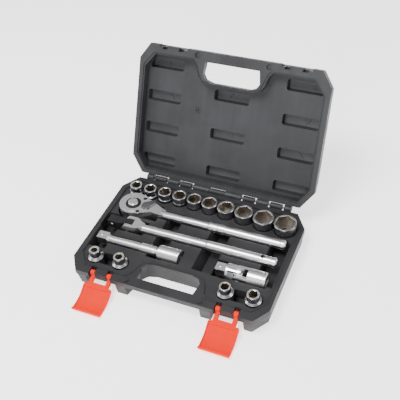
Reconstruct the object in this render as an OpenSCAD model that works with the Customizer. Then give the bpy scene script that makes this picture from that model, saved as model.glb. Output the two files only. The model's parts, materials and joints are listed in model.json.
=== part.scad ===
// Half-inch drive socket wrench set in a blow-moulded carry case.
// Origin: middle of the tray's flat underside. +X runs along the hinge, +Y towards the hinge, +Z up.
// The case lies open, with every tool seated in its well.

/* [Case] */
// Width of the case along the hinge
case_w = 283; // [276:1:340]
// Depth of the case from the hinge edge to the front edge
case_d = 193; // [186:1:232]
// Height of the tray half
tray_h = 28; // [26:1:34]
// Height of the lid half
lid_h = 40; // [36:1:48]
// Height of the flange round the tray's rim
tray_flange = 8; // [6:0.5:10]
// Height of the flange round the lid's rim
lid_flange = 10; // [9:0.5:12]
// Thickness of the moulded walls
wall = 2.2; // [1.6:0.1:3]
// Inward lean of the tray's side walls at the underside
tray_draft = 3; // [1:0.5:5]
// Inward lean of the lid's side walls at its outer face
lid_draft = 5; // [1:0.5:6]
// Corner cut along X at the front
front_cut_x = 15; // [8:1:24]
// Corner cut along Y at the front
front_cut_y = 22; // [10:1:30]
// Corner cut along X at the hinge side
back_cut_x = 17.5; // [8:0.5:24]
// Corner cut along Y at the hinge side
back_cut_y = 25; // [10:1:30]
// Width of the rim band outside the inner deck
rim_w = 9; // [8:0.5:12]
// Drop from the rim to the tray's deck
deck_drop = 1.2; // [0.5:0.1:2]
// Depth of the lid's inner panel below its rim
panel_depth = 14; // [13:0.5:18]

/* [Carry handle] */
// Front-to-back width of the handle bar
bar_d = 14; // [10:0.5:18]
// Depth of the bay behind the front edge
bay_d = 44; // [36:1:52]
// Half length of the bay at the front edge
bay_half = 54; // [46:1:60]

/* [Lid pockets] */
// Length of each stiffening pocket
pocket_l = 53; // [40:1:56]
// Width of each stiffening pocket
pocket_w = 16; // [10:1:20]
// Distance of the side columns from the middle
pocket_col = 103.5; // [95:0.5:110]
// Spacing of the four pockets in a side column
pocket_pitch_side = 48.4; // [40:0.1:50]
// Spacing of the three pockets in the middle column
pocket_pitch_mid = 56.6; // [40:0.1:58]
// Narrowing of a pocket at its floor on each side
pocket_draft = 1.6; // [1:0.1:4]
// Depth of a pocket below the lid's inner panel
pocket_depth = 10; // [6:0.5:16]
// Corner radius of a pocket at its mouth
pocket_corner = 4; // [2:0.5:5]

/* [Hinge] */
// Angle between closed and fully open
lid_open = 117; // [95:1:125]
// Diameter of the hinge rod
rod_d = 3; // [2.5:0.5:4]
// Distance of the rod behind the back edge
rod_back = 5; // [5:0.5:7]

/* [Latches] */
// Distance of each latch from the middle
latch_x = 90.5; // [84:0.5:100]
// Width of the latch plate
latch_w = 42; // [36:1:46]
// Length of a latch from its pin to its tip
latch_len = 55; // [45:1:56]
// Thickness of a latch plate
latch_t = 2.2; // [1.6:0.1:2.6]
// Swing of a latch from shut to open
latch_open = 105; // [95:1:106]
// Diameter of a latch's moulded pin
latch_pin_d = 5; // [4:0.5:5.5]
// Outward bow of a latch plate at its middle
latch_bow = 4.5; // [0:0.5:5]
// Width of the tray's bar that carries the pin
latch_bar_w = 17; // [14:0.5:20]

/* [Sockets] */
// Length of every socket
socket_len = 38; // [34:1:39]
// Diameter of the drive end of the small sockets
socket_base_d = 22; // [20:0.5:23]
// Gap between neighbours in the row
socket_gap = 1.3; // [1:0.1:2]
// Distance from the back edge to the row
socket_row = 17.4; // [16:0.1:19]
// Size of the square drive
drive_sq = 12.7; // [12.5:0.05:12.8]
// Length of a socket's narrow nose
nose_len = 9.8; // [8:0.1:14]

/* [Ratchet] */
// Gap between the row of sockets and the ratchet's head
ratchet_gap = 1.6; // [1.2:0.1:3]
// Overall length of the ratchet
ratchet_len = 250; // [240:1:260]
// Radius of the ratchet's head
head_r = 20.5; // [19:0.5:21.5]
// Thickness of the ratchet's head
head_t = 20; // [18:0.5:20.5]
// Diameter of the shank
shank_d = 11; // [10:0.5:12]
// Diameter of the grip
grip_d = 14; // [12:0.5:15]
// Number of teeth on the drive gear
gear_teeth = 36; // [24:1:60]

/* [Flex handle] */
// Gap between the ratchet's head and the flex handle's fork
flex_gap = 2.7; // [2.4:0.1:4]
// Overall length of the flex handle
flex_len = 250; // [240:1:256]
// Diameter of its bar
flex_bar_d = 12.4; // [11:0.2:14]
// Diameter of its pivot pin
flex_pin_d = 6; // [5:0.5:7]
// Width across its fork
fork_w = 20.6; // [18:0.2:22]
// Radius of the fork's round ends
fork_r = 8; // [7.5:0.25:9]

/* [Extension bar] */
// Gap between the flex handle's fork and the universal joint
short_gap = 10.2; // [8:0.1:12]
// Length of the extension bar
ext_len = 125; // [115:1:130]
// Diameter of its shaft
ext_shaft_d = 12; // [11:0.5:12.6]
// Diameter of its socket end
ext_end_d = 22; // [20:0.5:23]

/* [Universal joint] */
// Length of the universal joint
uj_len = 70; // [66:1:74]
// Diameter of its yokes
uj_d = 23; // [21:0.5:24]
// Diameter of its cross pins
uj_pin_d = 5.2; // [4:0.1:6]

/* [Clearances] */
// Side clearance between a tool and its well
well_clear = 1; // [0.6:0.1:1.5]
// Radial clearance of a part that turns in a bore
run_clear = 0.06; // [0.03:0.01:0.1]
// Gap between flat faces that move past each other
slide_clear = 0.2; // [0.1:0.05:0.5]
// Gap under a tool that rests on its well's floor
rest_clear = 0.05; // [0.02:0.01:0.1]

/* [Hidden] */
$fn = 48;
eps = 0.01;
half_w = case_w / 2;
half_d = case_d / 2;
front_y = -half_d;
floor_z = 2.5;
bead_h = 0.8;
bead_w = 1.5;
bead_out = 0.8;
bead_clear = 0.5;
deck_z = tray_h - deck_drop;
case_h = tray_h + lid_h;
panel_z = tray_h + panel_depth;
hinge_y = half_d + rod_back;
hinge_z = tray_h;
knuckle_r = rod_back - 0.5;
// Knuckles of one half of the hinge, as start and end along X
tray_knuckles = [
    [-12, 12],
    [half_w - 101, half_w - 83.5],
    [half_w - 60, half_w - 42],
];
lid_knuckles = [
    [12.5, 37.5],
    [half_w - 80.5, half_w - 63],
    [half_w - 39, half_w - 28.5],
];
rod_half = half_w - 28;
// Latch pin and the recess that a shut latch lies in
latch_recess = 3;
latch_bay = 6.4;
latch_rib = 1.2;
latch_pin_y = front_y + 7;
latch_pin_z = tray_h - tray_flange / 2;
arm_w = 6;
arm_clear = 1;
window_top = 12.3;
// Sockets in the row: hex size, outer diameter of the nose, turn of the hex
row_sockets = [
    [12, 18, 10],
    [13, 19, 25],
    [14, 20.2, 5],
    [15, 21.2, 18],
    [16, 21.8, 40],
    [17, 23.2, 30],
    [18, 25.2, 12],
    [19, 26.6, 28],
    [22, 29.4, 30],
    [24, 31.2, 30],
];
// Sockets in the front corners: hex size, nose diameter, turn, X
corner_sockets = [
    [8, 14.6, 0, 30 - half_w],
    [9, 15.4, 30, 67.5 - half_w],
    [10, 15.6, 30, half_w - 63],
    [11, 17, 0, half_w - 25],
];
// Rows from the back edge, each in front of the last
ratchet_row = socket_row + socket_base_d + ratchet_gap + head_r;
flex_row = ratchet_row + head_r + flex_gap + fork_w / 2;
short_row = flex_row + fork_w / 2 + short_gap + uj_d / 2;
corner_row = short_row + (uj_d + socket_base_d) / 2 + 12.5;
sockets = concat(row_sockets, corner_sockets);
row_start_x = 27 - half_w;
// Heights of the tool axes
long_z = tray_h - 0.5;
short_z = tray_h - 2;
// Deep finger channels across the tool rows: low X, high X, slope of the sides
channels = [
    [8.5 - half_w, 34.5 - half_w, 3],
    [-48, -24, 6],
    [20, 50, 8],
    [half_w - 35.5, half_w - 9.5, 3],
];
channel_floor = 7;
// Ratchet
ratchet_x = 38.5 - half_w;
ratchet_left = ratchet_x - head_r;
head_z = long_z - head_t / 2;
gear_r = 13.4;
gear_pocket_r = 14.2;
gear_z = head_z + 3.6;
gear_h = 14.4;
lever_dx = 21;
lever_rest = 50;
pawl_pocket_r = 7.2;
ring_r = 11.1;
button_r = 7.3;
plunger_r = 2.5;
cover_t = 1.6;
screw_at = [12.8, 13.2];
tang_tip_z = floor_z + 0.15;
spring_seat = 1.5;
plunger_low = 6.4;
ball_r = 2.3;
ball_proud = 0.8;
// Flex handle
flex_left = 16.5 - half_w;
flex_pivot_x = flex_left + 31;
tang_t = 10.4;
tang_r = fork_r - 1;
handle_hole_d = 6.4;
handle_hole_x = flex_left + flex_len - 19.5;
// Extension bar and universal joint
ext_left = 15.5 - half_w;
uj_left = half_w - 89.5;
uj_center_x = uj_left + 32;
uj_reach = 13.5;
uj_block = 12;
uj_prong_r = 5.8;
uj_relief = 2;
female_depth = 16;

// ---------- shared helpers ----------

function socket_name(s) = str("socket_", s[0], "mm");
function row_y(back) = half_d - back;
function base_d(s) = max(s[1], socket_base_d);
function row_x(i) = i == 0
    ? row_start_x
    : row_x(i - 1) + (base_d(row_sockets[i - 1]) + base_d(row_sockets[i])) / 2 + socket_gap;
function socket_xy(i) = i < len(row_sockets)
    ? [row_x(i), row_y(socket_row + base_d(sockets[i]) / 2)]
    : [sockets[i][3], row_y(corner_row)];

// Cylinder that lies along X, from x0 to x1
module x_rod(r, x0, x1) {
    translate([x0, 0, 0])
        rotate([0, 90, 0])
            cylinder(r = r, h = x1 - x0);
}

// Cylinder along Y, centred
module y_rod(r, w) {
    rotate([90, 0, 0])
        cylinder(r = r, h = w, center = true);
}

// Box with its lowest corner at a and its highest at b
module box(a, b) {
    translate(a)
        cube(b - a);
}

// Turned piece along X from a profile of [x, radius] points
module x_lathe(profile) {
    rotate([0, 90, 0])
        rotate_extrude()
            polygon(concat(
                [[0, profile[0][0]]],
                [for (p = profile) [p[1], p[0]]],
                [[0, profile[len(profile) - 1][0]]]
            ));
}

// Places its children on the left and mirrored on the right
module both_sides() {
    children();
    mirror([1, 0, 0])
        children();
}

// Coil spring along Z, from z = 0 to height h
module coil(radius, wire, turns, h) {
    steps = 14;
    sides = 6;
    n = turns * steps;
    rise = h - 2 * wire;
    rings = [for (i = [0:n]) [for (k = [0:sides - 1])
        let (a = 360 * i / steps, b = 360 * k / sides, r = radius + wire * cos(b))
        [r * cos(a), r * sin(a), wire + rise * i / n + wire * sin(b)]]];
    points = [for (ring = rings) for (p = ring) p];
    side_faces = [for (i = [0:n - 1]) for (k = [0:sides - 1])
        let (j = (k + 1) % sides)
        [i * sides + k, i * sides + j, (i + 1) * sides + j, (i + 1) * sides + k]];
    start_cap = [for (k = [sides - 1:-1:0]) k];
    end_cap = [for (k = [0:sides - 1]) n * sides + k];
    polyhedron(points, concat(side_faces, [start_cap, end_cap]));
}

// Ball that stands proud of a face; the face's outward direction is +Z at z = 0
module detent_ball() {
    translate([0, 0, ball_proud - ball_r])
        sphere(r = ball_r);
}

// Hole behind a detent ball, down to a depth
module ball_hole(depth) {
    translate([0, 0, -depth])
        cylinder(r = ball_r + 0.1, h = depth + 1);
}

// Spring that sits behind a detent ball in its hole
module ball_spring(depth) {
    translate([0, 0, -depth + rest_clear])
        coil(1.5, 0.35, 4, depth + ball_proud - 2 * ball_r - 2 * rest_clear);
}

// Square socket cut that opens towards +X at x = 0
module square_mouth(depth) {
    side = drive_sq + 0.15;
    box([-depth, -side / 2, -side / 2], [eps, side / 2, side / 2]);
    translate([-1, 0, 0])
        rotate([0, 90, 0])
            cylinder(r1 = side / 2, r2 = side / 2 + 1.2, h = 1.2);
}

// ---------- plan shapes of the case ----------

module case_outline(inset = 0) {
    w = half_w - inset;
    d = half_d - inset;
    polygon([
        [-w + front_cut_x, -d], [w - front_cut_x, -d],
        [w, -d + front_cut_y], [w, d - back_cut_y],
        [w - back_cut_x, d], [-w + back_cut_x, d],
        [-w, d - back_cut_y], [-w, -d + front_cut_y]
    ]);
}

function mirrored(half) = concat(
    half,
    [for (i = [len(half) - 1:-1:0]) [-half[i][0], half[i][1]]]
);

// Bay that the hand reaches into behind the handle bar
module bay_plan() {
    half = [
        [bay_half, front_y - 1],
        [bay_half - 4, front_y + bar_d + 1],
        [bay_half - 8, front_y + bay_d - 11],
        [bay_half - 14, front_y + bay_d - 3.5],
        [bay_half - 26, front_y + bay_d]
    ];
    polygon(mirrored(half));
}

// Wider part of the bay, from the front edge back, between heights z0 and z1
module bay_flared(z0, z1, grow) {
    half = bay_half - 6;
    back = front_y + bay_d + 2;
    intersection() {
        translate([-2 * half, 0, 0])
            rotate([90, 0, 90])
                linear_extrude(4 * half)
                    polygon([[front_y - 1, z0], [back, z0], [back + grow * 0.8, z1],
                        [front_y - 1, z1]]);
        translate([0, half_d, 0])
            rotate([90, 0, 0])
                linear_extrude(case_d + 2)
                    polygon([[-half, z0], [half, z0], [half + grow, z1], [-half - grow, z1]]);
    }
}

// Opening that goes right through behind the handle bar
module hole_plan() {
    half = [
        [bay_half - 14, front_y + bar_d],
        [bay_half - 11.5, front_y + bay_d - 12],
        [bay_half - 16, front_y + bay_d - 5],
        [bay_half - 26, front_y + bay_d - 1.5]
    ];
    polygon(mirrored(half));
}

// Inner area of the tray's deck and of the lid's panel
module deck_plan(inset = 0) {
    side = half_w - rim_w - inset;
    back = half_d - rim_w - inset;
    front = front_y + bar_d + 0.5 + inset;
    half = [
        [bay_half - 26, front_y + bay_d + 2 + inset],
        [bay_half - 12, front_y + bay_d - 1 + inset],
        [bay_half - 5 + inset, front_y + bay_d - 9 + inset],
        [bay_half + inset, front_y + bar_d + 6 + inset],
        [bay_half + 5 + inset, front],
        [half_w - front_cut_x - 9 - inset, front],
        [side, front_y + front_cut_y + 11 + inset],
        [side, half_d - back_cut_y - 4],
        [half_w - back_cut_x - 5, back]
    ];
    polygon(mirrored(half));
}

// ---------- tray ----------

module tray_shell() {
    translate([0, 0, tray_h - tray_flange])
        linear_extrude(tray_flange)
            case_outline();
    hull() {
        linear_extrude(eps)
            case_outline(tray_draft);
        translate([0, 0, tray_h - tray_flange - eps])
            linear_extrude(2 * eps)
                case_outline(0.8);
    }
    both_sides()
        translate([bay_half - 1.3, front_y + 6.5, tray_h - eps])
            cylinder(r = 3.4, h = 1.4);
    // Bead round the deck that enters the lid's groove
    translate([0, 0, tray_h - eps])
        linear_extrude(bead_h)
            difference() {
                deck_plan(-bead_out - bead_w);
                deck_plan(-bead_out);
            }
}

// Channel across the rows with sloping sides
module channel(c, y0, y1, bottom) {
    slope = c[2];
    translate([0, y1, 0])
        rotate([90, 0, 0])
            linear_extrude(y1 - y0)
                polygon([
                    [c[0] + slope, bottom], [c[1] - slope, bottom],
                    [c[1], tray_h + 1], [c[0], tray_h + 1]
                ]);
}

module long_groove(y, d, z, x0, x1) {
    half = d / 2 + well_clear;
    box([x0, y - half, z - d / 2 - rest_clear], [x1, y + half, tray_h + 1]);
}

module tool_wells() {
    top = tray_h + 1;
    ry = row_y(ratchet_row);
    fy = row_y(flex_row);
    sy = row_y(short_row);
    row_back = row_y(ratchet_row - grip_d / 2 - 2);
    row_front = row_y(short_row + uj_d / 2 + well_clear + 0.4);
    // Finger channels
    channel(channels[0], row_front - 6, fy + fork_w / 2 + 4, channel_floor);
    channel(channels[1], row_front, row_back, channel_floor);
    channel(channels[2], row_front, row_back, channel_floor);
    channel(channels[3], row_front + 4, row_back - 4, channel_floor);
    // Ratchet: round well for the head, then the shank and grip
    translate([ratchet_x, ry, floor_z])
        cylinder(r = head_r + 3, h = tray_h);
    box([ratchet_x, ry - 15, floor_z + 8], [ratchet_x + 41, ry + 15, top]);
    long_groove(ry, grip_d, long_z, ratchet_x + 39, ratchet_left + ratchet_len + 2);
    // Flex handle: deep well for the fork and head, then the bar
    box([flex_left - 9, fy - fork_w / 2 - 2, 8], [flex_pivot_x + 26, fy + fork_w / 2 + 2, top]);
    long_groove(fy, grip_d, long_z, flex_pivot_x + 24, flex_left + flex_len + 2.5);
    // Extension bar
    long_groove(sy, ext_end_d, short_z, ext_left + 88, ext_left + ext_len + 2);
    long_groove(sy, ext_shaft_d + 2, short_z, ext_left - 3, ext_left + 89);
    // Universal joint, wider where its square end swings
    long_groove(sy, uj_d, short_z, uj_left - 3, uj_left + uj_len + 2);
    relief_z = short_z - uj_d / 2 - uj_relief;
    box([uj_left - 3, sy - 14.5, relief_z], [uj_center_x - 10, sy + 14.5, top]);
    box([uj_center_x - 14, sy - uj_d / 2 - well_clear, relief_z],
        [uj_center_x + 12, sy + uj_d / 2 + well_clear, top]);
}

module socket_wells() {
    for (i = [0:len(sockets) - 1])
        translate([socket_xy(i)[0], socket_xy(i)[1], floor_z])
            cylinder(r = base_d(sockets[i]) / 2 + well_clear, h = tray_h);
    // Finger gaps between each pair of corner sockets
    for (pair = [[0, 1], [2, 3]]) {
        a = corner_sockets[pair[0]][3] + socket_base_d / 2 - 1;
        b = corner_sockets[pair[1]][3] - socket_base_d / 2 + 1;
        box([a, row_y(corner_row + 9), 10], [b, row_y(corner_row - 10), tray_h + 1]);
    }
}

// Latch bar, its notches and the pin's snap bore
module latch_cuts() {
    notch = latch_bar_w / 2;
    outer = notch + arm_w + 2 * arm_clear;
    zone = latch_w / 2 + 1.5;
    back = latch_pin_y + latch_bay;
    box([-zone, front_y - 1, -1], [zone, back, tray_h - tray_flange]);
    both_sides()
        box([notch, front_y - 1, -1], [outer, back, tray_h + 1]);
    box([-notch - 1, front_y - 1, -1], [notch + 1, front_y + latch_recess, tray_h + 1]);
    translate([0, latch_pin_y, latch_pin_z])
        x_rod(latch_pin_d / 2 + run_clear, -notch - 1, notch + 1);
    slot = latch_pin_d * 0.84;
    box([-notch - 1, latch_pin_y - slot / 2, -1],
        [notch + 1, latch_pin_y + slot / 2, latch_pin_z]);
}

module knuckle_set(list, bore, web_low, web_high) {
    both_sides()
        for (k = list)
            difference() {
                union() {
                    x_rod(knuckle_r, k[0], k[1]);
                    box([k[0], -rod_back - 1, web_low], [k[1], 0, web_high]);
                }
                x_rod(bore, k[0] - 1, k[1] + 1);
            }
}

module tray() {
    color([0.22, 0.22, 0.23]) {
        difference() {
            tray_shell();
            translate([0, 0, deck_z])
                linear_extrude(deck_drop + eps)
                    deck_plan();
            // Bay under the handle bar, and the hole through it
            translate([0, 0, -1])
                linear_extrude(tray_h - tray_flange + 1)
                    bay_plan();
            translate([0, 0, -1])
                linear_extrude(tray_h + 2)
                    hole_plan();
            tool_wells();
            socket_wells();
            for (side = [-1, 1])
                translate([side * latch_x, 0, 0])
                    latch_cuts();
            tray_cells();
        }
        translate([0, hinge_y, hinge_z])
            knuckle_set(tray_knuckles, rod_d / 2, -5.5, -0.4);
    }
}

// Closed air cells between the tray's inner and outer walls
module tray_cells() {
    y0 = row_y(short_row) - 9;
    y1 = row_y(ratchet_row) + 3;
    top = short_z - uj_d / 2 - uj_relief - wall;
    for (span = [[channels[1][1], channels[2][0]], [channels[2][1], channels[3][0]]])
        box([span[0] + wall, y0, wall + 0.3], [span[1] - wall, y1, top]);
}

// ---------- lid, drawn shut and then swung open ----------

module lid_pocket() {
    l0 = pocket_l / 2;
    w0 = pocket_w / 2;
    d = pocket_draft;
    h = pocket_depth;
    intersection() {
        translate([0, w0, 0])
            rotate([90, 0, 0])
                linear_extrude(2 * w0)
                    polygon([[-l0, -eps], [l0, -eps], [l0 - d, h], [-l0 + d, h]]);
        translate([-l0, 0, 0])
            rotate([90, 0, 90])
                linear_extrude(2 * l0)
                    polygon([[-w0, -eps], [w0, -eps], [w0 - d, h], [-w0 + d, h]]);
        translate([0, 0, -eps])
            linear_extrude(h)
                rounded_plan(l0, w0, pocket_corner);
    }
}

module rounded_plan(l, w, r) {
    square([2 * l, 2 * (w - r)], center = true);
    square([2 * (l - r), 2 * w], center = true);
    for (x = [-1, 1])
        for (y = [-1, 1])
            translate([x * (l - r), y * (w - r)])
                circle(r = r);
}

// Places its children at the middle of every pocket
module at_pockets() {
    first = half_d - 20.3;
    for (side = [-1, 1])
        for (i = [0:3])
            translate([side * pocket_col, first - i * pocket_pitch_side, 0])
                children();
    for (i = [0:2])
        translate([0, first - i * pocket_pitch_mid, 0])
            children();
}

module lid_shell() {
    flange_top = tray_h + lid_flange;
    difference() {
        union() {
            translate([0, 0, tray_h])
                linear_extrude(lid_flange)
                    case_outline();
            difference() {
                hull() {
                    translate([0, 0, flange_top - eps])
                        linear_extrude(eps)
                            case_outline(0.8);
                    translate([0, 0, case_h - 2 * eps])
                        linear_extrude(2 * eps)
                            case_outline(lid_draft);
                }
                translate([0, 0, flange_top])
                    linear_extrude(lid_h)
                        bay_plan();
                bay_flared(panel_z + wall, case_h + 1, 10);
            }
        }
        translate([0, 0, tray_h - 1])
            linear_extrude(lid_h + 2)
                hole_plan();
        translate([0, 0, tray_h - 1])
            linear_extrude(panel_depth + 1)
                deck_plan();
        // Groove that takes the tray's bead
        translate([0, 0, tray_h - 1])
            linear_extrude(1 + bead_h + bead_clear)
                difference() {
                    deck_plan(-bead_out - bead_w - bead_clear);
                    deck_plan(-bead_out + bead_clear);
                }
        // Recesses that take the tray's locating pegs
        both_sides()
            translate([bay_half - 1.3, front_y + 6.5, tray_h - 1])
                cylinder(r = 4.2, h = 3.2);
        // Dimple in the inner panel
        translate([-48, half_d - 106.5, panel_z - 1]) {
            cylinder(r = 4.5, h = 2.2);
            cylinder(r = 1.3, h = 4);
        }
        translate([0, 0, panel_z])
            at_pockets()
                lid_pocket();
        lid_cell();
        for (side = [-1, 1])
            translate([side * latch_x, 0, 0])
                lid_latch_cut();
    }
    for (side = [-1, 1])
        translate([side * latch_x, 0, 0])
            lid_lug();
}

// Closed air cell between the lid's inner panel and outer face
module lid_cell() {
    difference() {
        translate([0, 0, panel_z + wall])
            linear_extrude(case_h - panel_z - 2 * wall)
                deck_plan(wall + 1);
        translate([-48, half_d - 106.5, panel_z])
            cylinder(r = 7, h = 5);
        at_pockets()
            translate([0, 0, panel_z])
                cube([
                    pocket_l + 2 * wall, pocket_w + 2 * wall, 2 * (pocket_depth + wall)
                ], center = true);
        box([-bay_half - 12, front_y, panel_z], [bay_half + 12, front_y + bay_d + 15, case_h]);
    }
}

// Face that a shut latch lies on, with a notch beside each side of the lug
module lid_latch_cut() {
    half = latch_w / 2 + 1;
    box([-half, front_y - 1, tray_h - 1], [half, front_y + latch_recess, case_h + 1]);
    notch = latch_bar_w / 2;
    both_sides()
        box([notch, front_y - 1, tray_h - 1],
            [notch + arm_w + 2 * arm_clear, front_y + latch_recess + 3, tray_h + lid_flange]);
}

module lid_lug() {
    half = latch_bar_w / 2;
    top = latch_pin_z + window_top - 0.1;
    box([-half, front_y + 0.6, tray_h + 0.3], [half, front_y + latch_recess + 2, top]);
}

// Heel that meets the tray's back wall when the lid is fully open
module lid_heels() {
    rotate([lid_open, 0, 0])
        both_sides()
            box([lid_knuckles[1][0], -rod_back + rest_clear, -7.5],
                [lid_knuckles[1][1], -rod_d / 2 - 1, 0]);
}

module lid() {
    color([0.30, 0.30, 0.31])
        translate([0, hinge_y, hinge_z])
            rotate([-lid_open, 0, 0]) {
                translate([0, -hinge_y, -hinge_z + rest_clear])
                    lid_shell();
                knuckle_set(lid_knuckles, rod_d / 2 + run_clear, 0.4, 5.5);
                lid_heels();
            }
}

module hinge_rod() {
    color([0.35, 0.35, 0.36])
        translate([0, hinge_y, hinge_z])
            x_rod(rod_d / 2, -rod_half, rod_half);
}

// ---------- latches, drawn shut about the pin and then swung open ----------

// Bowed sheet across X: inner face at y = face, from z0 to z1, as thick as t
module bowed(face, t, half, z0, z1) {
    steps = 12;
    inner = [for (i = [0:steps]) [
        face - latch_bow * sin(180 * i / steps),
        z0 + (z1 - z0) * i / steps
    ]];
    outer = [for (i = [steps:-1:0]) [inner[i][0] + t, inner[i][1]]];
    translate([-half, 0, 0])
        rotate([90, 0, 90])
            linear_extrude(2 * half)
                polygon(concat(inner, outer));
}

module latch(side) {
    arm_in = latch_bar_w / 2 + arm_clear;
    arm_out = arm_in + arm_w;
    back = front_y + latch_recess - latch_pin_y - slide_clear;
    skin = back - latch_rib;
    front = skin - latch_t;
    color([0.95, 0.33, 0.18])
        translate([side * latch_x, latch_pin_y, latch_pin_z])
            rotate([latch_open, 0, 0]) {
                x_rod(latch_pin_d / 2, -arm_in - 1, arm_in + 1);
                both_sides() {
                    box([arm_in, front, 0], [arm_out, back, window_top + 1]);
                    x_rod(3.3, arm_in, arm_out);
                    box([arm_in, front, -3.3], [arm_out, 0, 3.3]);
                }
                // Plate above the window, wider than the arms
                box([-arm_out, front, window_top], [arm_out, back, 20]);
                box([-latch_w / 2 + 1, front, 15.5], [latch_w / 2 - 1, back, 18]);
                bowed(skin, -latch_t, latch_w / 2, 17, latch_len);
                // Raised side rims and the finger lip
                both_sides()
                    translate([latch_w / 2 - 0.8, 0, 0])
                        bowed(skin - 0.5, latch_rib + 0.5, 0.8, 17, latch_len);
                box([-latch_w / 2, skin - latch_t, latch_len - 2.2],
                    [latch_w / 2, skin + 2.6, latch_len]);
            }
}

// ---------- sockets, mouth up ----------

module socket(i) {
    s = sockets[i];
    af = s[0];
    nose_r = s[1] / 2;
    r = base_d(s) / 2;
    shoulder = socket_len - nose_len;
    cone = max(0.01, (r - nose_r) * 0.7);
    hex_r = af / 2 / cos(30);
    hex_depth = 17;
    square = drive_sq + 0.15;
    color([0.72, 0.72, 0.74])
        translate([socket_xy(i)[0], socket_xy(i)[1], floor_z])
            difference() {
                rotate_extrude()
                    polygon([
                        [0, 0], [r - 0.8, 0], [r, 0.8], [r, shoulder - cone],
                        [nose_r, shoulder], [nose_r, socket_len - 0.7],
                        [nose_r - 0.7, socket_len], [0, socket_len]
                    ]);
                rotate([0, 0, s[2]]) {
                    translate([0, 0, socket_len - hex_depth])
                        cylinder(r = hex_r, h = hex_depth + 1, $fn = 6);
                    translate([0, 0, -1])
                        cylinder(r = min(af / 2 - 0.8, 5.6), h = socket_len);
                }
                translate([0, 0, socket_len - 0.5])
                    cylinder(r1 = af / 2, r2 = hex_r + 0.2, h = 0.5 + eps);
                translate([-square / 2, -square / 2, -1])
                    cube([square, square, 15]);
            }
}

// ---------- ratchet ----------

module at_ratchet() {
    translate([ratchet_x, row_y(ratchet_row), 0])
        children();
}

// Wide part between head and shank: its outline seen from above, and from the side
module ratchet_neck() {
    neck_w = shank_d / 2 + 1;
    mid = head_z + head_t / 2;
    half = head_t / 2;
    low = shank_d / 2;
    intersection() {
        translate([0, 0, head_z])
            linear_extrude(head_t)
                polygon([
                    [8, -18.9], [20, -14], [31, -9], [43, -neck_w], [49, -neck_w + 1.4],
                    [49, neck_w - 1.4], [43, neck_w], [31, 9], [20, 14], [8, 18.9]
                ]);
        translate([0, 30, 0])
            rotate([90, 0, 0])
                linear_extrude(60)
                    polygon([
                        [0, mid - half], [22, mid - half], [34, mid - low - 1.5],
                        [49, mid - low + 1.2], [49, mid + low - 1.2], [42, mid + low + 0.6],
                        [33, mid + half], [0, mid + half]
                    ]);
    }
}

module ratchet_body() {
    end = ratchet_len - head_r;
    r = grip_d / 2;
    s = shank_d / 2;
    top = head_z + head_t;
    color([0.78, 0.78, 0.80])
        at_ratchet()
            difference() {
                union() {
                    translate([0, 0, head_z])
                        cylinder(r = head_r, h = head_t);
                    ratchet_neck();
                    translate([0, 0, long_z])
                        x_lathe([
                            [30, s], [116, s], [119, r],
                            [124, r], [124.6, r - 0.7], [125.6, r - 0.7], [126.2, r],
                            [130.5, r], [131, r - 0.7], [132, r - 0.7], [132.6, r],
                            [141, r], [141.6, r - 0.5], [end - 7, r - 0.5], [end - 6.4, r],
                            [end - 2, r], [end, r - 2.5]
                        ]);
                }
                translate([0, 0, gear_z - slide_clear]) {
                    cylinder(r = gear_pocket_r, h = head_t);
                    translate([lever_dx, 0, 0])
                        cylinder(r = pawl_pocket_r, h = head_t);
                }
                translate([0, 0, head_z - 1])
                    cylinder(r = 9.5 + run_clear, h = head_t);
                translate([0, 0, top - cover_t])
                    linear_extrude(cover_t + 1)
                        cover_plan(0.1);
                for (side = [-1, 1])
                    translate([screw_at[0], side * screw_at[1], top - cover_t - 6])
                        cylinder(r = 1.5, h = 10);
            }
}

module cover_plan(grow = 0) {
    circle(r = 17 + grow);
    for (side = [-1, 1])
        translate([screw_at[0], side * screw_at[1]])
            circle(r = 4 + grow);
}

module ratchet_cover() {
    top = head_z + head_t;
    color([0.66, 0.66, 0.68])
        at_ratchet()
            difference() {
                translate([0, 0, top - cover_t])
                    linear_extrude(cover_t)
                        difference() {
                            cover_plan();
                            circle(r = ring_r + run_clear);
                            translate([lever_dx, 0])
                                circle(r = pawl_pocket_r + 0.3);
                        }
                for (side = [-1, 1])
                    translate([screw_at[0], side * screw_at[1], top - cover_t - 1])
                        cylinder(r = 2.8, h = 4);
            }
}

module ratchet_screws() {
    top = head_z + head_t;
    color([0.8, 0.8, 0.82])
        at_ratchet()
            for (side = [-1, 1])
                translate([screw_at[0], side * screw_at[1], top])
                    difference() {
                        union() {
                            translate([0, 0, -cover_t])
                                cylinder(r = 2.7, h = cover_t);
                            translate([0, 0, -cover_t - 5.5])
                                cylinder(r = 1.5, h = 6);
                        }
                        translate([0, 0, -0.8])
                            cylinder(r = 1.1, h = 2, $fn = 6);
                    }
}

module gear_plan() {
    step = 180 / gear_teeth;
    polygon([for (i = [0:2 * gear_teeth - 1])
        let (r = i % 2 == 0 ? gear_r : gear_r - 1)
        [r * cos(i * step), r * sin(i * step)]]);
}

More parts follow.
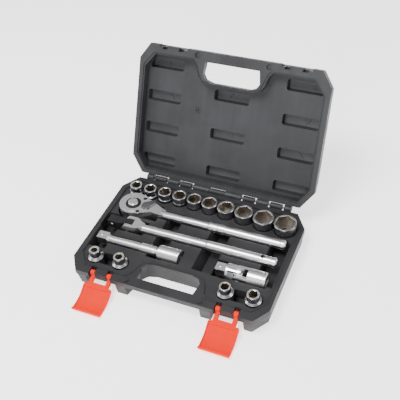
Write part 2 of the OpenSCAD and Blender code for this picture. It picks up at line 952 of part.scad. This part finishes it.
module ratchet_drive() {
    top = head_z + head_t;
    color([0.16, 0.16, 0.17])
        at_ratchet()
            difference() {
                union() {
                    translate([0, 0, gear_z])
                        linear_extrude(gear_h)
                            gear_plan();
                    translate([0, 0, head_z])
                        cylinder(r = 9.5, h = gear_z - head_z);
                    translate([0, 0, gear_z + gear_h - eps])
                        cylinder(r = ring_r, h = top + 0.3 - gear_z - gear_h + eps);
                    translate([-drive_sq / 2, -drive_sq / 2, tang_tip_z])
                        cube([drive_sq, drive_sq, head_z + eps - tang_tip_z]);
                }
                translate([0, 0, gear_z + 11])
                    cylinder(r = button_r + run_clear, h = 10);
                translate([0, 0, tang_tip_z + spring_seat])
                    cylinder(r = plunger_r + run_clear, h = 40);
                at_ratchet_ball()
                    ball_hole(drive_sq / 2 - plunger_r);
            }
}

// Frame of the ratchet's detent ball: outward is -Y
module at_ratchet_ball() {
    translate([0, -drive_sq / 2, tang_tip_z + 7.5])
        rotate([90, 0, 0])
            children();
}

module ratchet_ball() {
    color([0.85, 0.85, 0.87])
        at_ratchet()
            at_ratchet_ball()
                detent_ball();
}

module ratchet_button() {
    low = gear_z + 13.4;
    dome = 1.2;
    high = head_z + head_t + 3.4 - dome;
    color([0.86, 0.86, 0.88])
        at_ratchet()
            rotate_extrude()
                polygon([
                    [0, tang_tip_z + plunger_low], [plunger_r, tang_tip_z + plunger_low],
                    [plunger_r, low],
                    [button_r, low], [button_r, high],
                    [button_r - 0.9, high + 0.7 * dome], [button_r - 3, high + dome],
                    [0, high + dome]
                ]);
}

module ratchet_spring() {
    color([0.6, 0.6, 0.62])
        at_ratchet()
            translate([0, 0, tang_tip_z + spring_seat + rest_clear])
                coil(1.7, 0.3, 3, plunger_low - spring_seat - 2 * rest_clear);
}

module at_lever() {
    at_ratchet()
        translate([lever_dx, 0, 0])
            rotate([0, 0, lever_rest])
                children();
}

module ratchet_lever() {
    top = head_z + head_t;
    color([0.12, 0.12, 0.13])
        at_lever() {
            translate([0, 0, gear_z + slide_clear])
                cylinder(r = 2.4, h = top - gear_z);
            translate([0, 0, top - 3])
                cylinder(r = pawl_pocket_r - run_clear, h = 3.4);
            translate([0, 0, top + 0.3])
                linear_extrude(2.1) {
                    circle(r = 6.4);
                    polygon([[0, -6.2], [12, -3.1], [12, 3.1], [0, 6.2]]);
                    translate([12, 0])
                        circle(r = 3.1);
                }
        }
}

// Two-sided pawl that turns with the lever
module ratchet_pawl() {
    reach = pawl_pocket_r - 0.25;
    top = head_z + head_t;
    color([0.5, 0.5, 0.52])
        at_lever()
            translate([0, 0, gear_z + slide_clear])
                linear_extrude(top - 3.2 - gear_z - slide_clear)
                    difference() {
                        intersection() {
                            circle(r = reach);
                            polygon([[3, -4.6], [-8, -7], [-8, 7], [3, 4.6]]);
                        }
                        circle(r = 2.4);
                    }
}

// ---------- flex handle ----------

module at_flex() {
    translate([flex_pivot_x, row_y(flex_row), long_z])
        children();
}

// Fork behind the pivot: its outline seen from above, and from the side
module flex_fork() {
    r = flex_bar_d / 2;
    half = fork_w / 2;
    intersection() {
        translate([0, 0, -fork_r])
            linear_extrude(2 * fork_r)
                polygon([
                    [0, -half], [9, -half], [13, -half + 1], [17.5, -r], [23, -r + 1],
                    [23, r - 1], [17.5, r], [13, half - 1], [9, half], [0, half]
                ]);
        translate([0, half, 0])
            rotate([90, 0, 0])
                linear_extrude(fork_w)
                    polygon([
                        [0, -fork_r], [12, -fork_r], [23, -r + 1], [23, r - 1], [12, fork_r],
                        [0, fork_r]
                    ]);
    }
}

module flex_bar() {
    end = flex_left + flex_len - flex_pivot_x;
    r = flex_bar_d / 2;
    g = grip_d / 2;
    color([0.80, 0.80, 0.82])
        at_flex()
            difference() {
                union() {
                    y_rod(fork_r, fork_w);
                    flex_fork();
                    x_lathe([
                        [10, r], [118, r], [122, g],
                        [end - 8.6, g], [end - 8, g - 0.8], [end - 6.8, g - 0.8],
                        [end - 6.2, g], [end - 1.6, g], [end, g - 2]
                    ]);
                }
                box([-20, -tang_t / 2 - slide_clear, -20],
                    [tang_r + 0.8, tang_t / 2 + slide_clear, 20]);
                y_rod(flex_pin_d / 2, 60);
                translate([handle_hole_x - flex_pivot_x, 0, -20])
                    cylinder(r = handle_hole_d / 2, h = 40);
            }
}

module flex_head() {
    root = -fork_r - 0.6;
    color([0.10, 0.10, 0.11])
        at_flex()
            difference() {
                union() {
                    y_rod(tang_r, tang_t);
                    box([root - eps, -tang_t / 2, -tang_r], [0, tang_t / 2, tang_r]);
                    box([root - 3, -tang_r + 0.4, -tang_r], [root, tang_r - 0.4, tang_r]);
                    box([flex_left - flex_pivot_x, -drive_sq / 2, -drive_sq / 2],
                        [root, drive_sq / 2, drive_sq / 2]);
                }
                y_rod(flex_pin_d / 2 + run_clear, 40);
                at_flex_ball()
                    ball_hole(9);
            }
}

// Frame of the flex head's detent ball: outward is -Y
module at_flex_ball() {
    translate([flex_left - flex_pivot_x + 6, -drive_sq / 2, 0])
        rotate([90, 0, 0])
            children();
}

module flex_pin() {
    color([0.55, 0.55, 0.57])
        at_flex()
            y_rod(flex_pin_d / 2, fork_w);
}

module flex_ball() {
    color([0.85, 0.85, 0.87])
        at_flex()
            at_flex_ball()
                detent_ball();
}

module flex_spring() {
    color([0.6, 0.6, 0.62])
        at_flex()
            at_flex_ball()
                ball_spring(9);
}

// ---------- extension bar ----------

module at_extension() {
    translate([ext_left, row_y(short_row), short_z])
        children();
}

// Detent ball frame on the top face of a square that starts at x = 0
module at_top_ball() {
    translate([6, 0, drive_sq / 2])
        children();
}

module extension_bar() {
    r = ext_shaft_d / 2;
    e = ext_end_d / 2;
    end = ext_len;
    color([0.82, 0.82, 0.84])
        at_extension()
            difference() {
                union() {
                    box([0, -drive_sq / 2, -drive_sq / 2], [16, drive_sq / 2, drive_sq / 2]);
                    x_lathe([
                        [15, r + 0.8], [18, r + 0.8], [19, r], [66, r], [67, r + 1],
                        [88, r + 1], [89, r], [91, r], [95, e], [end - 5, e],
                        [end - 4.5, e - 0.6], [end - 3.5, e - 0.6], [end - 3, e],
                        [end - 0.8, e], [end, e - 0.8]
                    ]);
                }
                translate([end, 0, 0])
                    square_mouth(female_depth);
                at_top_ball()
                    ball_hole(9);
            }
}

module extension_ball() {
    color([0.85, 0.85, 0.87])
        at_extension()
            at_top_ball()
                detent_ball();
}

module extension_spring() {
    color([0.6, 0.6, 0.62])
        at_extension()
            at_top_ball()
                ball_spring(9);
}

// ---------- universal joint ----------

module at_joint() {
    translate([uj_center_x, row_y(short_row), short_z])
        children();
}

// Yoke whose prongs lie above and below the middle and point to +X at reach 0
module yoke_prongs(inner, outer) {
    intersection() {
        difference() {
            union() {
                cylinder(r = uj_prong_r, h = 2 * outer, center = true);
                box([-uj_reach - eps, -uj_prong_r, -outer], [0, uj_prong_r, outer]);
            }
            cube([4 * uj_reach, 4 * uj_reach, 2 * inner], center = true);
            cylinder(r = uj_pin_d / 2 + run_clear, h = 40, center = true);
        }
        x_rod(uj_d / 2, -uj_reach - 1, uj_reach);
    }
}

module joint_drive_yoke() {
    left = uj_left - uj_center_x;
    inner = uj_block / 2 + slide_clear;
    color([0.82, 0.82, 0.84])
        at_joint()
            difference() {
                union() {
                    yoke_prongs(inner, uj_d / 2 - 0.5);
                    x_lathe([
                        [-uj_reach - 5, uj_d / 2 - 2.5], [-uj_reach - 3, uj_d / 2 - 0.5],
                        [-uj_reach, uj_d / 2 - 0.5]
                    ]);
                    box([left, -drive_sq / 2, -drive_sq / 2],
                        [-uj_reach - 4, drive_sq / 2, drive_sq / 2]);
                }
                translate([left, 0, 0])
                    at_top_ball()
                        ball_hole(9);
            }
}

module joint_socket_yoke() {
    right = uj_left + uj_len - uj_center_x;
    inner = uj_block / 2 + slide_clear;
    r = uj_d / 2;
    color([0.82, 0.82, 0.84])
        at_joint()
            difference() {
                union() {
                    mirror([1, 0, 0])
                        rotate([90, 0, 0])
                            yoke_prongs(inner, r - 0.5);
                    x_lathe([
                        [uj_reach, r], [right - 5, r], [right - 4.5, r - 0.6],
                        [right - 3.5, r - 0.6], [right - 3, r], [right - 0.8, r],
                        [right, r - 0.8]
                    ]);
                }
                translate([right, 0, 0])
                    square_mouth(female_depth);
            }
}

module joint_block() {
    color([0.70, 0.70, 0.72])
        at_joint()
            difference() {
                cube([uj_block, uj_block, uj_block], center = true);
                cylinder(r = uj_pin_d / 2, h = 40, center = true);
                y_rod(uj_pin_d / 2, 40);
            }
}

// One long pin through the block and two short ones beside it
module joint_pins() {
    r = uj_pin_d / 2;
    reach = uj_d / 2 - 0.9;
    color([0.6, 0.6, 0.62])
        at_joint() {
            cylinder(r = r, h = 2 * reach, center = true);
            for (side = [-1, 1])
                translate([0, side * (reach + r + 0.05) / 2, 0])
                    y_rod(r, reach - r - 0.05);
        }
}

module at_joint_ball() {
    at_joint()
        translate([uj_left - uj_center_x, 0, 0])
            at_top_ball()
                children();
}

module joint_ball() {
    color([0.85, 0.85, 0.87])
        at_joint_ball()
            detent_ball();
}

module joint_spring() {
    color([0.6, 0.6, 0.62])
        at_joint_ball()
            ball_spring(9);
}

// ---------- assembly ----------

tray();
lid();
hinge_rod();
latch(-1);  // latch_left
latch(1);  // latch_right
for (i = [0:len(sockets) - 1])
    socket(i);
ratchet_body();
ratchet_cover();
ratchet_screws();
ratchet_drive();
ratchet_pawl();
ratchet_lever();
ratchet_button();
ratchet_spring();
ratchet_ball();
flex_bar();
flex_head();
flex_pin();
flex_ball();
flex_spring();
extension_bar();
extension_ball();
extension_spring();
joint_drive_yoke();
joint_block();
joint_pins();
joint_socket_yoke();
joint_ball();
joint_spring();
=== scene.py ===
"""Socket wrench set in its open case: looks, light and camera."""

import json
import math

import bmesh
import bpy
from mathutils import Matrix, Vector


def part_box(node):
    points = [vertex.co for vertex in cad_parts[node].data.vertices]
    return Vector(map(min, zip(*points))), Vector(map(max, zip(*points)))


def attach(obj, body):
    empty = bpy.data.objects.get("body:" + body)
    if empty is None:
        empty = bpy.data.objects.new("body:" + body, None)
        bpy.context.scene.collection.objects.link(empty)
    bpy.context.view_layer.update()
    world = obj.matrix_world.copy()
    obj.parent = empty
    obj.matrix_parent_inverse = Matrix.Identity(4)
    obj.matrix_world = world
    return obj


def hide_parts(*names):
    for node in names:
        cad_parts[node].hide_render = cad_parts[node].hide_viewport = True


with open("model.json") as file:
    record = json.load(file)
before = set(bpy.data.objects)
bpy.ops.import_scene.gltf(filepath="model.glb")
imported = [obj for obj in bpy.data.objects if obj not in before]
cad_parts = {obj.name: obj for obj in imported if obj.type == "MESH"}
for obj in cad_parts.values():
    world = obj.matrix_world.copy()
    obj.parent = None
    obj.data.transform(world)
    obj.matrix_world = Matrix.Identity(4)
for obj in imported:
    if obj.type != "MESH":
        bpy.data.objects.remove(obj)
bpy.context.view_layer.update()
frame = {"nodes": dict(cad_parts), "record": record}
nodes = frame["nodes"]
body_of_node = {n: b for b, ns in frame["record"]["behaviour"]["bodies"].items() for n in ns}
slot_of_node = {s["node"]: s["material_slot"] for s in frame["record"]["subparts"]}

MM = 0.001
WELD = 0.00001  # points nearer than this count as one
TINY = 0.000001  # room for rounding errors
FLAT = math.radians(0.6)  # faces that turn less than this are merged
FOLD = math.radians(32)  # edges that turn more than this are rounded or stay sharp
ROUND_STEPS = 2


# ---------- materials ----------


class Nodes:
    """A short way to write a node material."""

    def __init__(self, name):
        self.mat = bpy.data.materials.new(name)
        self.mat.use_nodes = True
        self.tree = self.mat.node_tree
        self.shader = self.tree.nodes["Principled BSDF"]
        self.coords = self.add("ShaderNodeTexCoord")

    def add(self, kind, **settings):
        node = self.tree.nodes.new(kind)
        for key, value in settings.items():
            setattr(node, key, value)
        return node

    def link(self, a, b):
        self.tree.links.new(a, b)

    def stretched(self, scale, turn=(0, 0, 0)):
        """Object coordinates, turned and then scaled along each axis."""
        first = self.add("ShaderNodeMapping")
        first.inputs["Rotation"].default_value = turn
        self.link(self.coords.outputs["Object"], first.inputs["Vector"])
        second = self.add("ShaderNodeMapping")
        second.inputs["Scale"].default_value = scale
        self.link(first.outputs["Vector"], second.inputs["Vector"])
        return second.outputs["Vector"]

    def noise(self, vector, scale, detail=4.0, rough=0.6):
        node = self.add("ShaderNodeTexNoise")
        node.inputs["Scale"].default_value = scale
        node.inputs["Detail"].default_value = detail
        node.inputs["Roughness"].default_value = rough
        self.link(vector, node.inputs["Vector"])
        return node.outputs["Fac"]

    def ramp(self, fac, low, high, start=0.35, end=0.65):
        """Value or colour that goes from low to high with fac."""
        node = self.add("ShaderNodeValToRGB")
        stops = node.color_ramp.elements
        for stop, place, value in ((stops[0], start, low), (stops[1], end, high)):
            stop.position = place
            stop.color = (*value, 1) if isinstance(value, tuple) else (value, value, value, 1)
        self.link(fac, node.inputs["Fac"])
        return node.outputs["Color"]

    def bump(self, heights, distance, strength=0.5):
        """Adds a bump from one or more height outputs."""
        normal = None
        for height in heights:
            node = self.add("ShaderNodeBump")
            node.inputs["Strength"].default_value = strength
            node.inputs["Distance"].default_value = distance
            self.link(height, node.inputs["Height"])
            if normal is not None:
                self.link(normal, node.inputs["Normal"])
            normal = node.outputs["Normal"]
        self.link(normal, self.shader.inputs["Normal"])


PLASTIC_BUMP = 0.00005
METAL_BUMP = 0.000004
CHROME_BUMP = 0.000001
FINE = (300, 300, 300)
ALONG_X = (12, 260, 260)


def plastic(name, low, high, rough, specular=0.35, streak_turn=None):
    """Moulded plastic: fine grain, slow tone changes and, on the lid, flow streaks."""
    m = Nodes(name)
    obj = m.coords.outputs["Object"]
    tone = m.ramp(m.noise(obj, 14, 3), low, high, 0.3, 0.7)
    if streak_turn is not None:
        streaks = m.noise(m.stretched((90, 2, 2), streak_turn), 1.0, 3)
        mix = m.add("ShaderNodeMix", data_type="RGBA", blend_type="MULTIPLY")
        mix.inputs["Factor"].default_value = 0.5
        m.link(tone, mix.inputs["A"])
        m.link(m.ramp(streaks, 0.82, 1.16, 0.3, 0.7), mix.inputs["B"])
        tone = mix.outputs["Result"]
    m.link(tone, m.shader.inputs["Base Color"])
    m.link(m.ramp(m.noise(obj, 60, 2), rough - 0.05, rough + 0.07), m.shader.inputs["Roughness"])
    m.shader.inputs["Specular IOR Level"].default_value = specular
    grain = m.noise(obj, 2600, 2)
    waves = m.noise(obj, 90, 2)
    m.bump([m.ramp(waves, 0.0, 1.0), m.ramp(grain, 0.0, 1.0)], PLASTIC_BUMP)
    return m.mat


def metal(name, low, high, rough, spread, metallic=1.0, grain=FINE, depth=METAL_BUMP):
    """Machined or plated steel with fine working marks, which are raised where depth is given."""
    m = Nodes(name)
    obj = m.coords.outputs["Object"]
    m.link(m.ramp(m.noise(obj, 40, 3), low, high), m.shader.inputs["Base Color"])
    marks = m.noise(m.stretched(grain), 1.0, 3)
    m.link(m.ramp(marks, rough, rough + spread, 0.25, 0.75), m.shader.inputs["Roughness"])
    m.shader.inputs["Metallic"].default_value = metallic
    if depth:
        m.bump([m.ramp(marks, 0.0, 1.0)], depth)
    return m.mat


LID_TURN = (math.radians(27), 0, 0)
case_mat = plastic("case_plastic", (0.020, 0.020, 0.021), (0.031, 0.031, 0.033), 0.46, 0.25)
lid_mat = plastic("lid_plastic", (0.026, 0.026, 0.028), (0.038, 0.039, 0.042), 0.46, 0.3, LID_TURN)
latch_mat = plastic("latch_plastic", (0.80, 0.012, 0.0), (0.86, 0.018, 0.001), 0.55, 0.08)
chrome_mat = metal(
    "satin_chrome", (0.80, 0.80, 0.81), (0.87, 0.87, 0.88), 0.26, 0.06, grain=ALONG_X, depth=CHROME_BUMP
)
# Chrome brightened with a painted highlight, for the upward faces at the top of each socket
rim_painted_highlight_mat = metal("rim_painted_highlight", (0.90, 0.90, 0.90), (0.96, 0.96, 0.95), 0.18, 0.06)
# Lid plastic lightened with painted light, for the pocket floors
painted_light_pocket_mat = plastic("pocket_floor_painted_light", (0.050, 0.050, 0.053), (0.064, 0.065, 0.069), 0.5, 0.3)
bore_mat = metal("bore_steel", (0.42, 0.36, 0.29), (0.55, 0.48, 0.40), 0.3, 0.1)
# Chrome darkened with painted shade, for the sides of the sockets
socket_painted_shade_mat = metal(
    "socket_chrome_painted_shade", (0.30, 0.30, 0.31), (0.36, 0.36, 0.37), 0.26, 0.04, grain=(60, 60, 60), depth=0
)
black_mat = metal(
    "black_oxide", (0.012, 0.012, 0.013), (0.024, 0.024, 0.026), 0.4, 0.12, metallic=0.4
)
spring_mat = metal("spring_wire", (0.5, 0.5, 0.51), (0.62, 0.62, 0.63), 0.25, 0.1)
rod_mat = metal("hinge_steel", (0.08, 0.08, 0.085), (0.12, 0.12, 0.125), 0.35, 0.1)
lever_mat = metal("lever_steel", (0.16, 0.16, 0.165), (0.22, 0.22, 0.225), 0.34, 0.1)

MATERIAL = {
    "case": case_mat,
    "latch": latch_mat,
    "rod": rod_mat,
    "chrome": chrome_mat,
    "black_steel": black_mat,
    "spring_steel": spring_mat,
}


# ---------- visible pieces made from the design's solids ----------


# Planes, in metres, that split the tray's flat faces, so that no merged face has a hole in it
TRAY_X = (-0.0905, 0.0, 0.0905)
TRAY_Y = (-0.0895, -0.0655, -0.0305, 0.0015, 0.035, 0.0660)


def split_faces(mesh, planes_x, planes_y):
    """Cuts the faces along planes and marks the cuts, which the merging then leaves."""
    work = bmesh.new()
    work.from_mesh(mesh)
    bmesh.ops.remove_doubles(work, verts=work.verts, dist=WELD)
    planes = [(Vector((x, 0, 0)), Vector((1, 0, 0))) for x in planes_x]
    planes += [(Vector((0, y, 0)), Vector((0, 1, 0))) for y in planes_y]
    for place, normal in planes:
        geometry = work.verts[:] + work.edges[:] + work.faces[:]
        cut = bmesh.ops.bisect_plane(
            work, geom=geometry, dist=TINY, plane_co=place, plane_no=normal
        )
        for item in cut["geom_cut"]:
            if isinstance(item, bmesh.types.BMEdge):
                item.seam = True
    work.to_mesh(mesh)
    work.free()


def crease(mesh):
    """Welds a solid's corners and keeps its folds sharp when its faces are shaded smooth."""
    work = bmesh.new()
    work.from_mesh(mesh)
    bmesh.ops.remove_doubles(work, verts=work.verts, dist=WELD)
    for edge in work.edges:
        edge.smooth = edge.calc_face_angle(0) < FOLD
    work.to_mesh(mesh)
    work.free()


def rounded(node, width):
    """Puts a copy of a solid in its place, with flat faces merged and edges rounded by width mm."""
    piece = bpy.data.objects.new("look_" + node, nodes[node].data.copy())
    bpy.context.scene.collection.objects.link(piece)
    mesh = piece.data
    mesh.materials.clear()
    mesh.materials.append(MATERIAL[slot_of_node[node]])
    if node == "tray":
        split_faces(mesh, TRAY_X, TRAY_Y)
    if node == "lid":
        crease(mesh)
    for face in mesh.polygons:
        face.use_smooth = True
        face.material_index = 0
    weld = piece.modifiers.new("weld", "WELD")
    weld.merge_threshold = WELD
    flat = piece.modifiers.new("flat", "DECIMATE")
    flat.decimate_type = "DISSOLVE"
    flat.angle_limit = FLAT
    flat.delimit = {"MATERIAL", "SEAM"}
    if width:
        edge = piece.modifiers.new("edge", "BEVEL")
        edge.width = width * MM
        edge.segments = ROUND_STEPS
        edge.limit_method = "ANGLE"
        edge.angle_limit = FOLD
        edge.use_clamp_overlap = True
        edge.miter_outer = "MITER_ARC"
    normal = piece.modifiers.new("normal", "WEIGHTED_NORMAL")
    normal.keep_sharp = True
    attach(piece, body_of_node[node])
    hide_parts(node)
    return piece


def paint(piece, material, chosen):
    """Gives a material to the faces that chosen(centre, normal) picks."""
    piece.data.materials.append(material)
    index = len(piece.data.materials) - 1
    for face in piece.data.polygons:
        if chosen(face.center, face.normal):
            face.material_index = index


RIM_DEPTH = 0.0006
UPWARD = 0.9


def paint_socket(node, piece):
    """Gives a socket sides darkened with painted shade, its brownish bore and a rim brightened with a
    painted highlight.
    """
    low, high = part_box(node)
    centre = (low + high) / 2

    def in_bore(c, n):
        out = Vector((c.x - centre.x, c.y - centre.y, 0))
        return out.dot(Vector((n.x, n.y, 0))) < -TINY

    def on_rim(c, n):
        return n.z > UPWARD and c.z > high.z - RIM_DEPTH

    # The socket's sides get chrome darkened with painted shade
    piece.data.materials[0] = socket_painted_shade_mat
    paint(piece, bore_mat, in_bore)
    # The upward faces at the top get chrome brightened with a painted highlight
    paint(piece, rim_painted_highlight_mat, on_rim)


# Turning the lid about its hinge, from shut to the open rest position and back
LID_OPEN = math.radians(117)
to_hinge = Matrix.Translation(Vector(frame["record"]["behaviour"]["joints"][0]["pos_m"]))
OPEN_LID = to_hinge @ Matrix.Rotation(-LID_OPEN, 4, "X") @ to_hinge.inverted()
SHUT_LID = OPEN_LID.inverted()

# Height of the pocket floors when the lid is shut, and the room given to it
POCKET_FLOOR_Z = 0.05205
FLOOR_ROOM = 0.0003


def on_pocket_floor(c, n):
    return abs((SHUT_LID @ c).z - POCKET_FLOOR_Z) < FLOOR_ROOM


# Width of the rounded edges in mm; the lid's are sharp, and small pieces have none
EDGE = {"tray": 0.7, "lid": 0, "latch_left": 0.5, "latch_right": 0.5}
OTHER_EDGE = 0.3
SMALL = ("spring", "ball", "hinge_rod", "pawl", "screws", "pins")

looks = {}
for name in nodes:
    small = any(word in name for word in SMALL)
    looks[name] = rounded(name, EDGE.get(name, 0 if small else OTHER_EDGE))

looks["lid"].data.materials[0] = lid_mat
# The lid's pocket floors get plastic lightened with painted light
paint(looks["lid"], painted_light_pocket_mat, on_pocket_floor)
looks["ratchet_screws"].data.materials[0] = black_mat
looks["ratchet_lever"].data.materials[0] = lever_mat
for name, piece in looks.items():
    if name.startswith("socket_"):
        paint_socket(name, piece)


# ---------- marks of the mould on the pocket floors of the lid ----------


MARK_W = 0.7
SIDES = 6
RING_STEPS = 24
# Pocket centre in mm, offset along the pocket, turn in degrees, length
LINES = [
    ((-103.5, -69.0), 1.0, 90, 7.0),
    ((-103.5, -20.6), 9.0, 50, 9.5),
    ((0.0, -37.0), -4.0, -50, 9.5),
    ((103.5, -20.6), 9.0, -50, 9.5),
    ((103.5, 27.8), 6.0, 50, 9.0),
]
# Pocket centre, offset along the pocket, radius
RINGS = [((0.0, 19.6), 3.0, 3.0), ((103.5, -69.0), 10.0, 2.8)]


def tube(mesh, points, radius):
    """Thin rod through points that lie at one height, closed when its ends meet."""
    closed = (points[0] - points[-1]).length < TINY
    if closed:
        points = points[:-1]
    count = len(points)
    rings = []
    for i, p in enumerate(points):
        before = points[i - 1] if i or closed else p
        after = points[(i + 1) % count] if i < count - 1 or closed else p
        along = (after - before).normalized()
        side = along.cross(Vector((0, 0, 1))).normalized()
        ring = []
        for k in range(SIDES):
            a = math.tau * k / SIDES
            lift = Vector((0, 0, radius * math.sin(a)))
            ring.append(mesh.verts.new(p + side * radius * math.cos(a) + lift))
        rings.append(ring)
    for i in range(count if closed else count - 1):
        a, b = rings[i], rings[(i + 1) % count]
        for k in range(SIDES):
            other = (k + 1) % SIDES
            mesh.faces.new((a[k], a[other], b[other], b[k]))
    if not closed:
        mesh.faces.new(rings[0][::-1])
        mesh.faces.new(rings[-1])


def make_marks():
    """One piece that holds the raised lines and rings, laid out on the shut lid and then opened."""
    mesh = bmesh.new()
    for (x, y), offset, turn, length in LINES:
        mid = Vector((x + offset, y, POCKET_FLOOR_Z / MM))
        angle = math.radians(turn)
        half = Vector((math.cos(angle), math.sin(angle), 0)) * length / 2
        tube(mesh, [mid - half, mid - half * 0.5, mid, mid + half * 0.5, mid + half], MARK_W / 2)
    for (x, y), offset, radius in RINGS:
        mid = Vector((x + offset, y, POCKET_FLOOR_Z / MM))
        turns = [math.tau * i / RING_STEPS for i in range(RING_STEPS + 1)]
        circle = [mid + Vector((math.cos(a), math.sin(a), 0)) * radius for a in turns]
        tube(mesh, circle, MARK_W / 2)
    data = bpy.data.meshes.new("lid_mould_marks")
    bmesh.ops.recalc_face_normals(mesh, faces=mesh.faces)
    mesh.to_mesh(data)
    mesh.free()
    data.transform(OPEN_LID @ Matrix.Scale(MM, 4))
    for face in data.polygons:
        face.use_smooth = True
    data.materials.append(lid_mat)
    marks = bpy.data.objects.new("lid_mould_marks", data)
    bpy.context.scene.collection.objects.link(marks)
    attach(marks, "lid")


make_marks()


# ---------- floor, light and camera ----------


FLOOR_SIZE = 8
FLOOR_DROP = 0.0002
FLOOR_GLOW = 1.6
WORLD_LIGHT = 0.55

# Where the soft lights point, and each one's name, place, size in metres and power in watts
LIT = (0, 0.05, 0.03)
LIGHTS = (
    ("key", (-0.25, -0.35, 1.4), 0.6, 22),
    ("front", (0.25, -1.45, 0.85), 0.7, 12),
    ("fill_left", (-1.2, -0.3, 0.8), 0.7, 6),
    ("fill_right", (1.2, 0.3, 0.9), 0.7, 6),
)

# The camera's place in mm, its backward and sideward directions, its roll and its lens in mm
CAMERA_PLACE = (321.4, -570.2, 742.7)
CAMERA_BACK = (0.3316, -0.6343, 0.6984)
CAMERA_RIGHT = (0.8862, 0.4633, 0.0)
CAMERA_ROLL = math.radians(-6.6)
CAMERA_LENS = 63.49


def make_floor():
    """A pale sheet that gives a little light, so that it stays nearly white under the tools."""
    bpy.ops.mesh.primitive_plane_add(size=FLOOR_SIZE, location=(0, 0, -FLOOR_DROP))
    floor = bpy.context.object
    floor.name = "studio_floor"
    m = Nodes("studio_paper")
    tone = m.ramp(m.noise(m.coords.outputs["Object"], 3), 0.95, 0.97)
    m.link(tone, m.shader.inputs["Base Color"])
    m.shader.inputs["Roughness"].default_value = 0.9
    m.shader.inputs["Emission Color"].default_value = (1, 1, 1, 1)
    m.shader.inputs["Emission Strength"].default_value = FLOOR_GLOW
    floor.data.materials.append(m.mat)


def add_light(name, place, size, power):
    """A round soft light that points at LIT."""
    data = bpy.data.lights.new(name, "AREA")
    data.shape = "DISK"
    data.size = size
    data.energy = power
    lamp = bpy.data.objects.new(name, data)
    lamp.location = place
    lamp.rotation_euler = (Vector(LIT) - Vector(place)).to_track_quat("-Z", "Y").to_euler()
    bpy.context.scene.collection.objects.link(lamp)


def make_lights():
    for name, place, size, power in LIGHTS:
        add_light(name, place, size, power)
    world = bpy.data.worlds.new("studio")
    world.use_nodes = True
    back = world.node_tree.nodes["Background"]
    back.inputs["Color"].default_value = (1, 1, 1, 1)
    back.inputs["Strength"].default_value = WORLD_LIGHT
    bpy.context.scene.world = world


def make_camera():
    back = Vector(CAMERA_BACK).normalized()
    right = Vector(CAMERA_RIGHT).normalized()
    up = back.cross(right)
    across = right * math.cos(CAMERA_ROLL) + up * math.sin(CAMERA_ROLL)
    upward = up * math.cos(CAMERA_ROLL) - right * math.sin(CAMERA_ROLL)
    data = bpy.data.cameras.new("camera")
    data.sensor_width = 36
    data.lens = CAMERA_LENS
    camera = bpy.data.objects.new("camera", data)
    turn = Matrix((across, upward, back)).transposed().to_4x4()
    camera.matrix_world = Matrix.Translation(Vector(CAMERA_PLACE) * MM) @ turn
    bpy.context.scene.collection.objects.link(camera)
    bpy.context.scene.camera = camera


make_floor()
make_lights()
make_camera()

bpy.context.view_layer.update()
